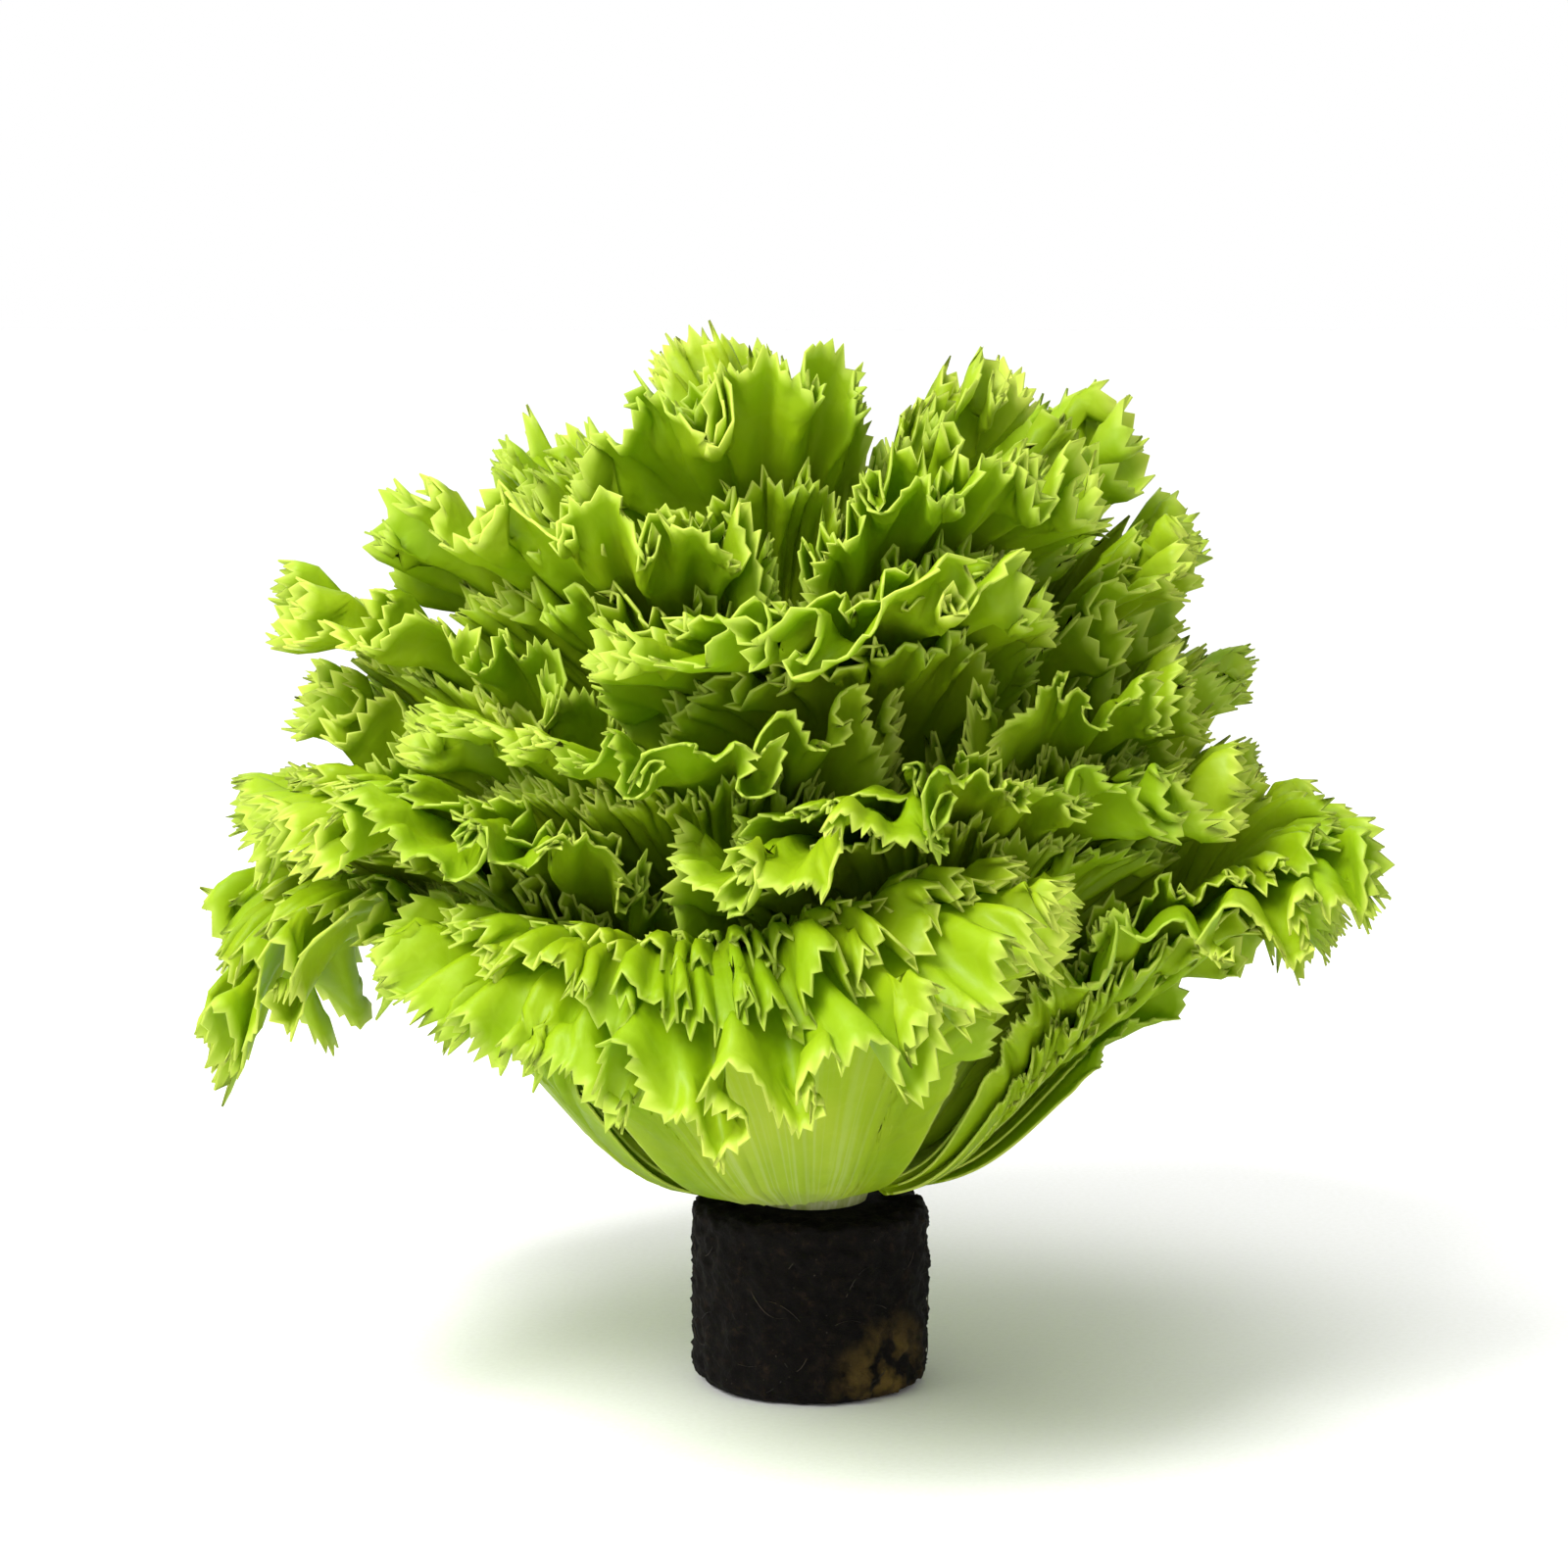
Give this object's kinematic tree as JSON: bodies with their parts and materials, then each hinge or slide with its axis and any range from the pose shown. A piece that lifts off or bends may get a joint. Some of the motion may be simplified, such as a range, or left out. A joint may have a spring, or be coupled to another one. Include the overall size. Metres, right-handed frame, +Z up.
{
  "type": "coral lettuce",
  "caption": "Loose round head of frilled yellow-green lettuce leaves on a short stem, standing on the peat plug that it grew in.",
  "frame": {"origin": "centre of the peat plug's flat bottom", "axes": "+Z up along the plug and stem; -Y is the head's front, as pictured"},
  "size_m": [0.236, 0.2558, 0.1963],
  "materials": {
    "leaf": "satin",
    "stem": "satin",
    "peat": "matte"
  },
  "bodies": {
    "root": {"peat_plug": "peat", "stem": "stem", "leaf_01": "leaf", "leaf_02": "leaf", "leaf_03": "leaf", "leaf_04": "leaf", "leaf_05": "leaf", "leaf_06": "leaf", "leaf_07": "leaf", "leaf_08": "leaf", "leaf_09": "leaf", "leaf_10": "leaf", "leaf_11": "leaf", "leaf_12": "leaf", "leaf_13": "leaf", "leaf_14": "leaf", "leaf_15": "leaf", "leaf_16": "leaf", "leaf_17": "leaf", "leaf_18": "leaf", "leaf_19": "leaf", "leaf_20": "leaf", "leaf_21": "leaf", "leaf_22": "leaf", "leaf_23": "leaf", "leaf_24": "leaf", "leaf_25": "leaf", "leaf_26": "leaf"}
  },
  "joints": []
}
